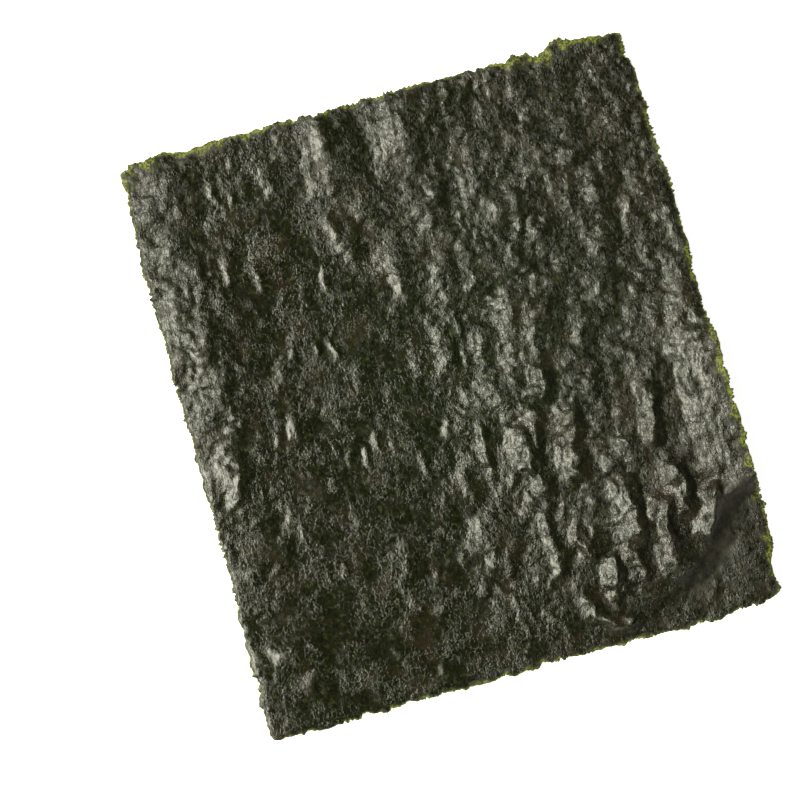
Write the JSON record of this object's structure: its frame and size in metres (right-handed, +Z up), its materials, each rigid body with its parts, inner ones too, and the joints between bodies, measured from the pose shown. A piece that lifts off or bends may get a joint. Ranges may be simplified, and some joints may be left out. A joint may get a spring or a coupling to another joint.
{
  "type": "nori sheet",
  "caption": "Flat rectangular sheet of dried seaweed with a rippled face, a crumpled corner and frayed green edges.",
  "frame": {"origin": "on the table, under the middle of the sheet", "axes": "+X across the sheet's short side, +Y along its long side, +Z up out of its upper face"},
  "size_m": [0.1908, 0.2125, 0.0061],
  "materials": {
    "dried_laver": "mottled black green with a dull gloss"
  },
  "bodies": {
    "root": {"nori_sheet": "dried_laver"}
  },
  "joints": []
}
